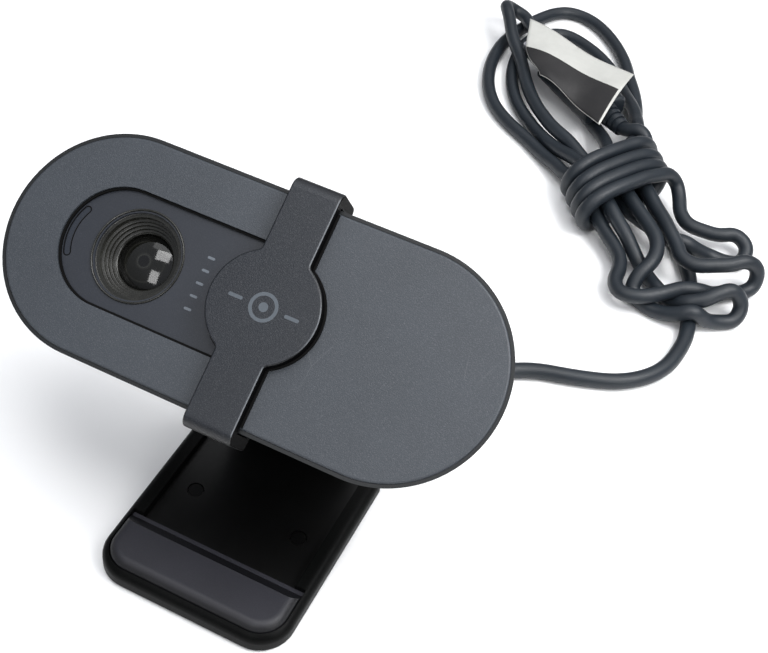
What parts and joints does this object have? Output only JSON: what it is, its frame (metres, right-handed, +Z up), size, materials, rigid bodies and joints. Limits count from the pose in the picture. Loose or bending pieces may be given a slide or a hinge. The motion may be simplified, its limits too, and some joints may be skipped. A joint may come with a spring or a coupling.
{
  "type": "clip-on webcam",
  "caption": "Pill shaped webcam with a sliding shutter band, standing on its unfolded two-hinge screen clip, its cord wound in a loose hank with a plug.",
  "frame": {"origin": "centre of the webcam's footprint box, without its cord, on the surface it stands on", "axes": "+X along the body to the viewer's right, -Y out of the front, +Z up"},
  "size_m": [0.1518, 0.2737, 0.0759],
  "materials": {
    "plate": "matte",
    "shell": "matte",
    "panel": "satin",
    "shutter": "matte",
    "surround": "satin",
    "glass": "gloss",
    "light_pipe": "gloss",
    "lens_inner": "satin",
    "silicon": "gloss",
    "filter": "gloss",
    "board": "satin",
    "chip": "matte",
    "led": "gloss",
    "socket": "matte",
    "steel": "satin",
    "clip": "satin",
    "lip": "satin",
    "pad": "satin",
    "cord": "matte",
    "gold": "polished",
    "label": "satin"
  },
  "bodies": {
    "camera_body": {"front_plate": "plate", "lens_panel": "panel", "indicator_light_pipe": "light_pipe", "lens_surround": "surround", "front_glass": "glass", "lens_barrel": "lens_inner", "lens_elements": "glass", "lens_holder": "lens_inner", "infrared_filter": "filter", "image_sensor": "silicon", "main_circuit_board": "board", "board_chips": "chip", "microphone": "steel", "indicator_led": "led", "cable_socket": "socket", "board_screws": "steel", "rear_shell": "shell", "shell_screws": "steel", "tilt_pin": "steel", "cord_strain_relief": "cord", "cord_lead": "cord", "cord_hank": "cord", "plug_strain_relief": "cord", "plug_grip": "cord", "plug_shell": "steel", "plug_tongue": "socket", "plug_contacts": "gold", "cord_label": "label"},
    "shutter": {"privacy_shutter": "shutter"},
    "arm": {"clip_arm": "clip", "arm_pad": "pad", "tilt_washers": "steel", "fold_washers": "steel"},
    "foot": {"foot_tray": "clip", "foot_lip": "lip", "foot_pad": "pad", "foot_screws": "steel", "fold_pin": "steel"}
  },
  "joints": [
    {"name": "shutter_slide", "type": "slide", "parent": "camera_body", "child": "shutter", "axis": [-1, 0, 0], "range_m": [0, 0.0306]},
    {"name": "body_tilt", "type": "hinge", "parent": "camera_body", "child": "arm", "pos_m": [0.0068, 0.00975, 0.03188], "axis": [1, 0, 0], "range_deg": [-10, 80]},
    {"name": "foot_fold", "type": "hinge", "parent": "arm", "child": "foot", "pos_m": [0.0068, 0.02225, 0.00455], "axis": [1, 0, 0], "range_deg": [-24, 95]}
  ]
}
